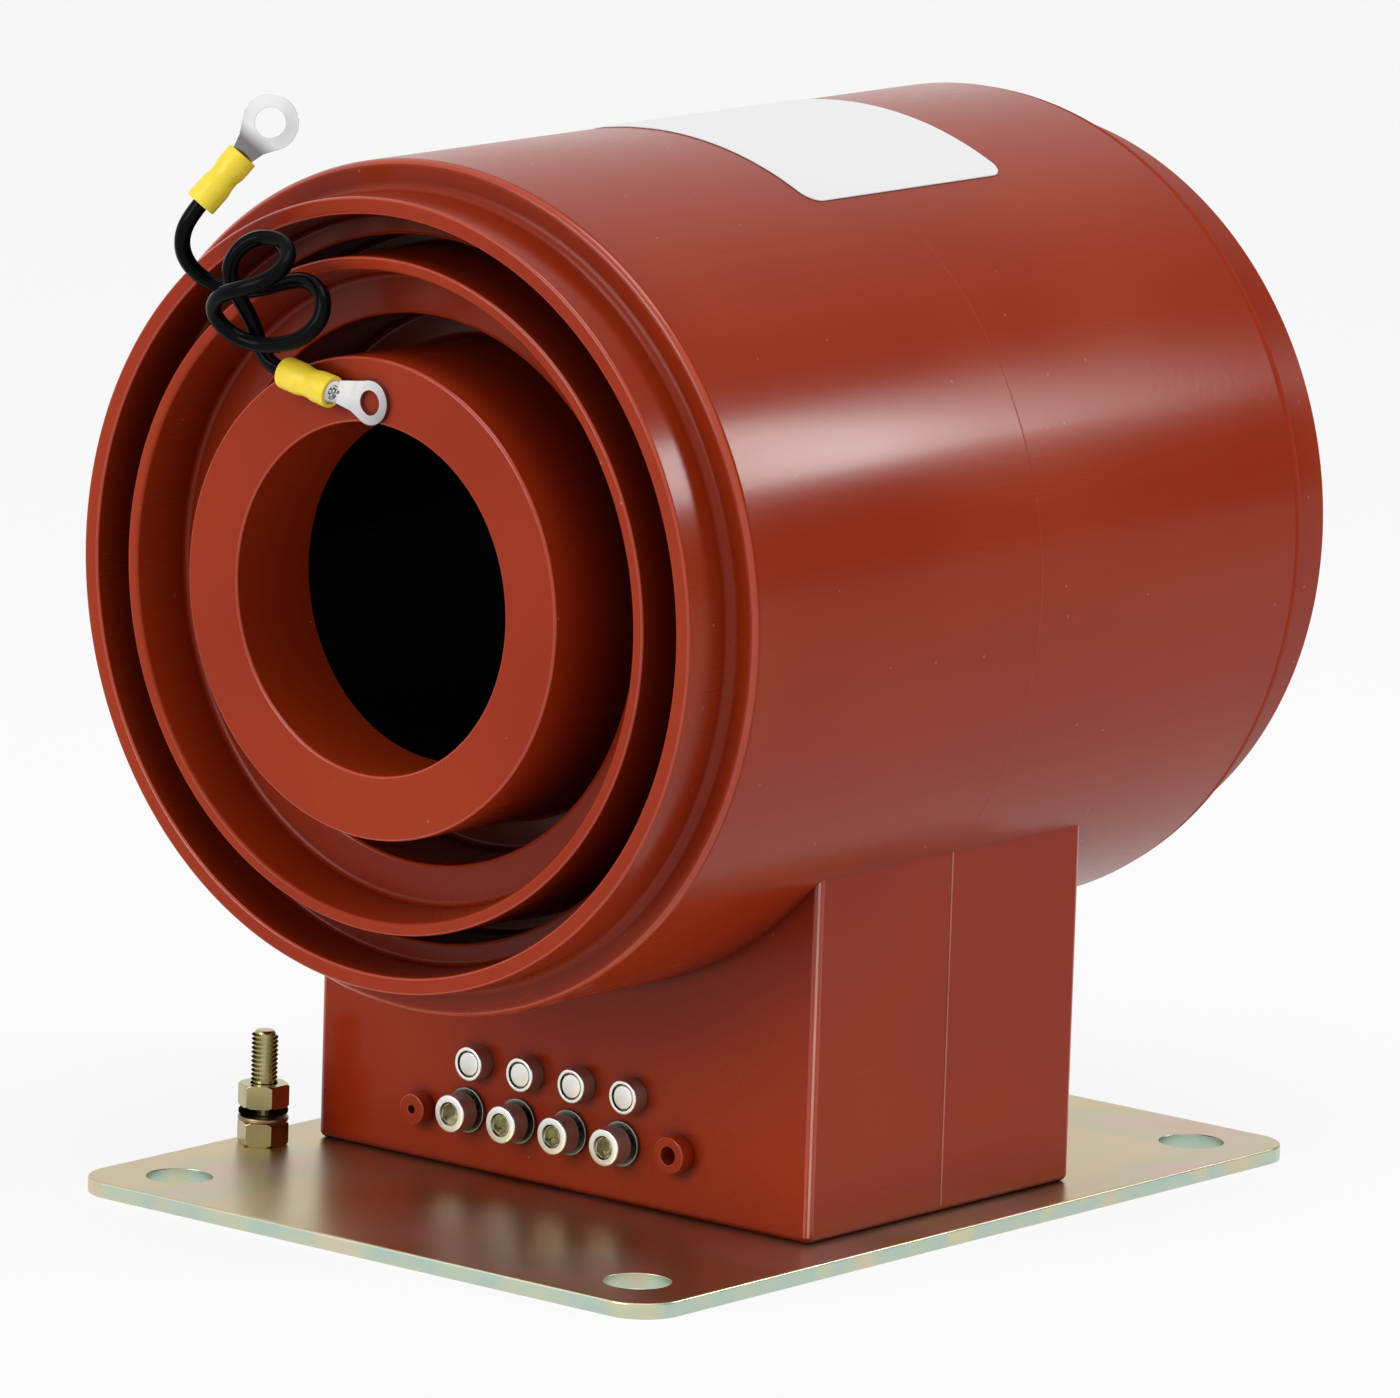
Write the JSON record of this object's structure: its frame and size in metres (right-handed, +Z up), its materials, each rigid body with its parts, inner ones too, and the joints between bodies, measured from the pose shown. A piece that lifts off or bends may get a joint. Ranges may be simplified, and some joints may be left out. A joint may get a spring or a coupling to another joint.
{
  "type": "medium voltage current transformer",
  "caption": "Window-type current transformer: ribbed resin drum with a central bore on a pedestal, steel base plate, secondary terminals, earthing bolt and a loose lead.",
  "frame": {"origin": "centre of the base plate's underside", "axes": "+Z up from the base plate to the drum, +Y along the window bore to the back, away from the terminals, +X to the right seen from the terminal side"},
  "size_m": [0.183, 0.2432, 0.2461],
  "materials": {
    "resin": "glossy cast epoxy resin, red-brown, fine scratches",
    "plate_steel": "yellow passivated zinc on sheet steel, iridescent",
    "screen_copper": "bare copper sheet",
    "core_steel": "wound grain-oriented strip",
    "winding_copper": "enamelled copper wire with tape",
    "lead_insulation": "woven insulating sleeve",
    "insert_brass": "turned brass",
    "screw_steel": "bright nickel-plated steel",
    "cap_steel": "pale plated disc",
    "passivated_steel": "yellow passivated zinc",
    "label_white": "smooth white foil",
    "wire_black": "black insulated flexible lead",
    "sleeve_yellow": "yellow vinyl insulation",
    "tinned_copper": "bright tin on copper"
  },
  "bodies": {
    "root": {"resin_body": "resin", "base_plate": "plate_steel", "bore_screen": "screen_copper", "measuring_core": "core_steel", "measuring_winding": "winding_copper", "protection_core": "core_steel", "protection_winding": "winding_copper", "secondary_lead_1": "lead_insulation", "secondary_lead_2": "lead_insulation", "secondary_lead_3": "lead_insulation", "secondary_lead_4": "lead_insulation", "terminal_insert_1": "insert_brass", "terminal_insert_2": "insert_brass", "terminal_insert_3": "insert_brass", "terminal_insert_4": "insert_brass", "terminal_screw_1": "screw_steel", "terminal_screw_2": "screw_steel", "terminal_screw_3": "screw_steel", "terminal_screw_4": "screw_steel", "terminal_spring_washer_1": "screw_steel", "terminal_spring_washer_2": "screw_steel", "terminal_spring_washer_3": "screw_steel", "terminal_spring_washer_4": "screw_steel", "terminal_flat_washer_1": "screw_steel", "terminal_flat_washer_2": "screw_steel", "terminal_flat_washer_3": "screw_steel", "terminal_flat_washer_4": "screw_steel", "link_insert_1": "insert_brass", "link_insert_2": "insert_brass", "link_insert_3": "insert_brass", "link_insert_4": "insert_brass", "link_screw_1": "screw_steel", "link_screw_2": "screw_steel", "link_screw_3": "screw_steel", "link_screw_4": "screw_steel", "socket_cap_1": "cap_steel", "socket_cap_2": "cap_steel", "socket_cap_3": "cap_steel", "socket_cap_4": "cap_steel", "base_inserts": "insert_brass", "plate_screws": "passivated_steel", "earth_stud": "passivated_steel", "earth_lower_nut": "passivated_steel", "earth_flat_washer": "passivated_steel", "earth_spring_washer": "passivated_steel", "earth_upper_nut": "passivated_steel", "rating_label": "label_white", "lead_wire": "wire_black", "lead_sleeve_lower": "sleeve_yellow", "lead_sleeve_upper": "sleeve_yellow", "ring_terminal_lower": "tinned_copper", "ring_terminal_upper": "tinned_copper"}
  },
  "joints": []
}
